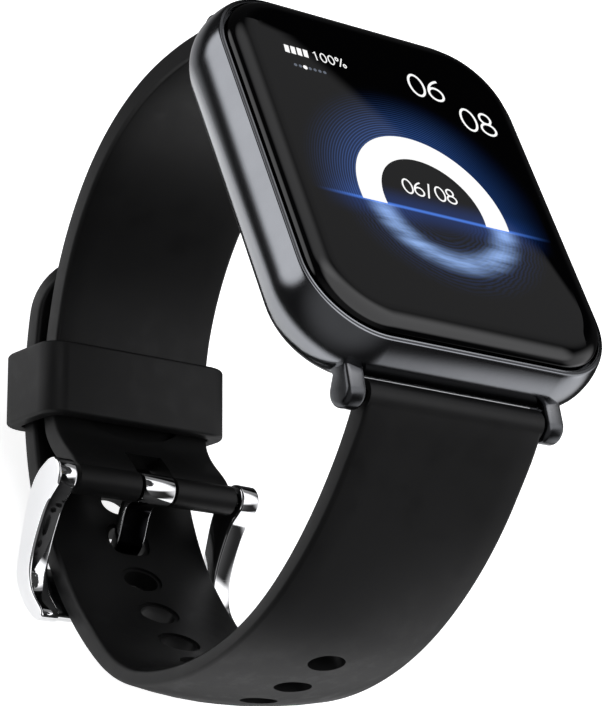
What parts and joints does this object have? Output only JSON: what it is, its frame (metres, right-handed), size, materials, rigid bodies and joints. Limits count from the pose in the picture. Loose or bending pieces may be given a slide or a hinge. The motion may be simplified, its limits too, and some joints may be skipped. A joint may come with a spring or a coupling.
{
  "type": "smartwatch",
  "caption": "Rectangular smartwatch closed as on a wrist: metal case with curved glass, side button, silicone strap, sliding keeper and pin buckle.",
  "frame": {"origin": "centre of the glass's flat face", "axes": "+Z out of the screen, +Y towards 12 o'clock, +X towards 3 o'clock, where the button is"},
  "size_m": [0.0368, 0.0615, 0.0596],
  "materials": {
    "case_metal": "satin anodised",
    "back_plastic": "fine matt",
    "cover_glass": "polished",
    "display": "gloss",
    "seal_rubber": "matt",
    "inner_metal": "brushed",
    "flex_film": "satin",
    "circuit_board": "solder mask",
    "chip_plastic": "matt",
    "led_plastic": "gloss",
    "battery_foil": "foil",
    "contact_metal": "plated",
    "sensor_lens": "polished",
    "screw_steel": "satin",
    "strap_silicone": "soft matt",
    "buckle_chrome": "polished"
  },
  "bodies": {
    "case": {"case_body": "case_metal", "rear_cover": "back_plastic", "front_glass": "cover_glass", "glass_gasket": "seal_rubber", "display_panel": "display", "mid_frame": "inner_metal", "display_flex": "flex_film", "main_pcb": "circuit_board", "processor_chip": "chip_plastic", "memory_chip": "chip_plastic", "power_chip": "chip_plastic", "battery": "battery_foil", "vibration_motor": "inner_metal", "antenna_strip": "contact_metal", "sensor_board": "circuit_board", "sensor_led_green": "led_plastic", "sensor_led_red": "led_plastic", "photodiode": "chip_plastic", "sensor_window": "sensor_lens", "rear_seal": "seal_rubber", "rear_screw_1": "screw_steel", "rear_screw_2": "screw_steel", "rear_screw_3": "screw_steel", "rear_screw_4": "screw_steel", "charge_pin_left": "contact_metal", "charge_pin_right": "contact_metal", "charge_magnet_left": "inner_metal", "charge_magnet_right": "inner_metal", "button_seal": "seal_rubber", "button_switch": "chip_plastic", "spring_bar_top": "screw_steel", "spring_bar_bottom": "screw_steel"},
    "strap_short": {"strap_short": "strap_silicone", "buckle_bar": "screw_steel"},
    "strap_long": {"strap_long": "strap_silicone"},
    "keeper": {"keeper_loop": "strap_silicone"},
    "buckle_frame": {"buckle_frame": "buckle_chrome"},
    "buckle_tongue": {"buckle_tongue": "buckle_chrome"},
    "button": {"side_button": "case_metal", "button_clip": "screw_steel"}
  },
  "joints": [
    {"name": "button_press", "type": "slide", "parent": "case", "child": "button", "axis": [-1, 0, 0], "range_m": [0, 0.0005]},
    {"name": "strap_short_swing", "type": "hinge", "parent": "case", "child": "strap_short", "pos_m": [0, 0.0222, -0.0067], "axis": [1, 0, 0], "range_deg": [-4, 5]},
    {"name": "strap_long_swing", "type": "hinge", "parent": "case", "child": "strap_long", "pos_m": [0, -0.0222, -0.0067], "axis": [1, 0, 0], "range_deg": [-4, 5], "deforming": ["strap_long"]},
    {"name": "keeper_slide", "type": "hinge", "parent": "strap_short", "child": "keeper", "pos_m": [0, 0.00035, -0.0258], "axis": [1, 0, 0], "range_deg": [-4, 4]},
    {"name": "buckle_frame_flip", "type": "hinge", "parent": "strap_short", "child": "buckle_frame", "pos_m": [0, -0.0009, -0.0484], "axis": [1, 0, 0], "range_deg": [0, 6]},
    {"name": "tongue_flip", "type": "hinge", "parent": "strap_short", "child": "buckle_tongue", "pos_m": [0, -0.0009, -0.0484], "axis": [1, 0, 0], "range_deg": [0, 6]}
  ],
  "couplings": [
    {"joint": "strap_long_swing", "follows": "strap_short_swing", "ratio": 1},
    {"joint": "tongue_flip", "follows": "buckle_frame_flip", "ratio": 1}
  ]
}
